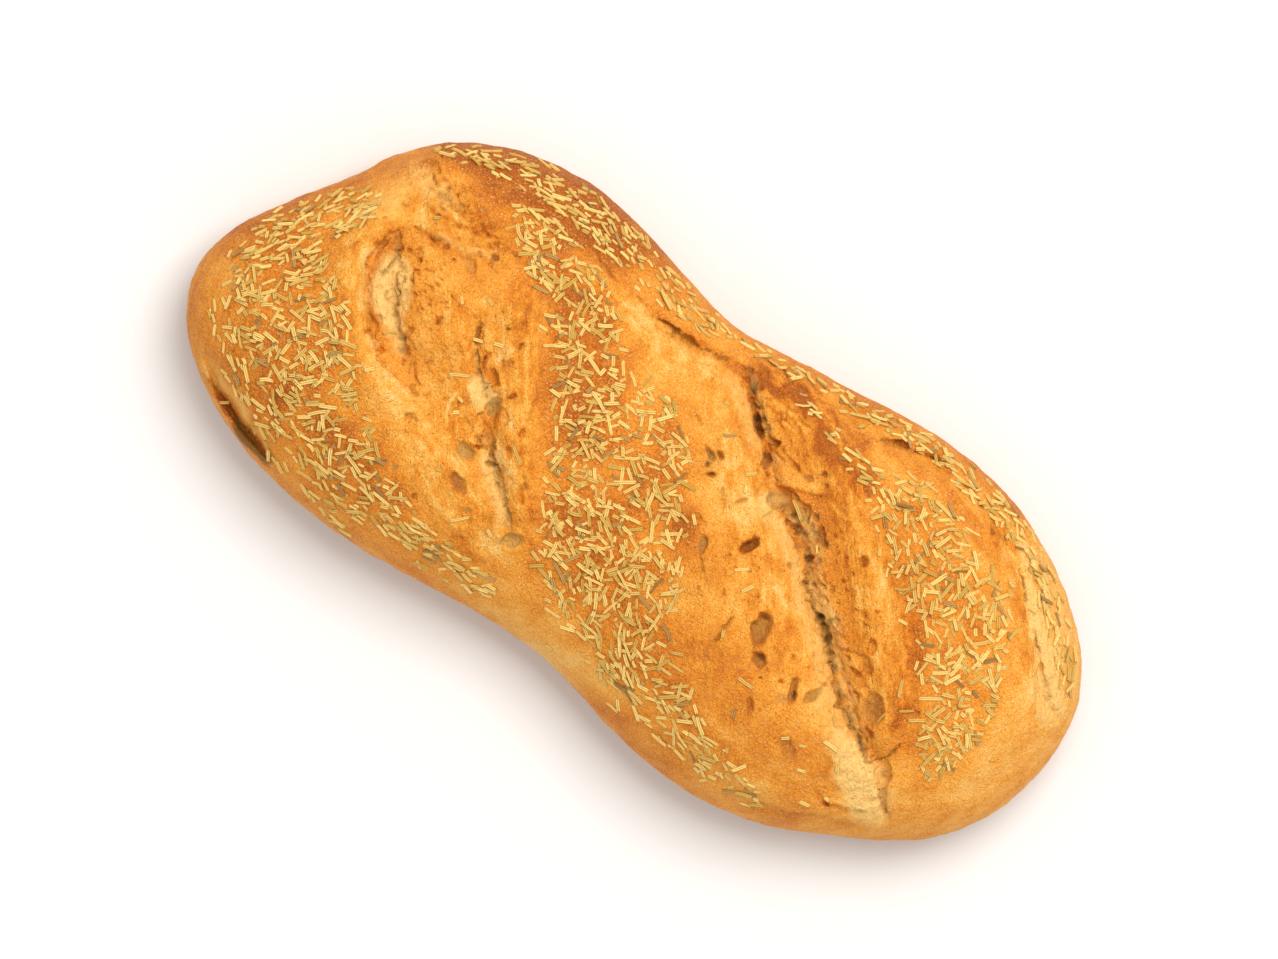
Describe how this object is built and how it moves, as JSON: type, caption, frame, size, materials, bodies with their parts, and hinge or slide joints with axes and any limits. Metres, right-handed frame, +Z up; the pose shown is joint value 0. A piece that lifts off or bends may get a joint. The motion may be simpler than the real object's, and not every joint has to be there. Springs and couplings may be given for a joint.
{
  "type": "rosemary bread loaf",
  "caption": "Long hearth-baked bread loaf with a slight waist, torn diagonal slashes and dried rosemary needles baked onto its crust.",
  "frame": {"origin": "on the surface that the loaf rests on, under the middle of its bounding box", "axes": "+X along the loaf towards its rounder end, +Y across it, +Z up out of the crust"},
  "size_m": [0.29, 0.134, 0.0607],
  "materials": {
    "crust": "matte golden brown baked crust"
  },
  "bodies": {
    "root": {"rosemary_loaf": "crust"}
  },
  "joints": []
}
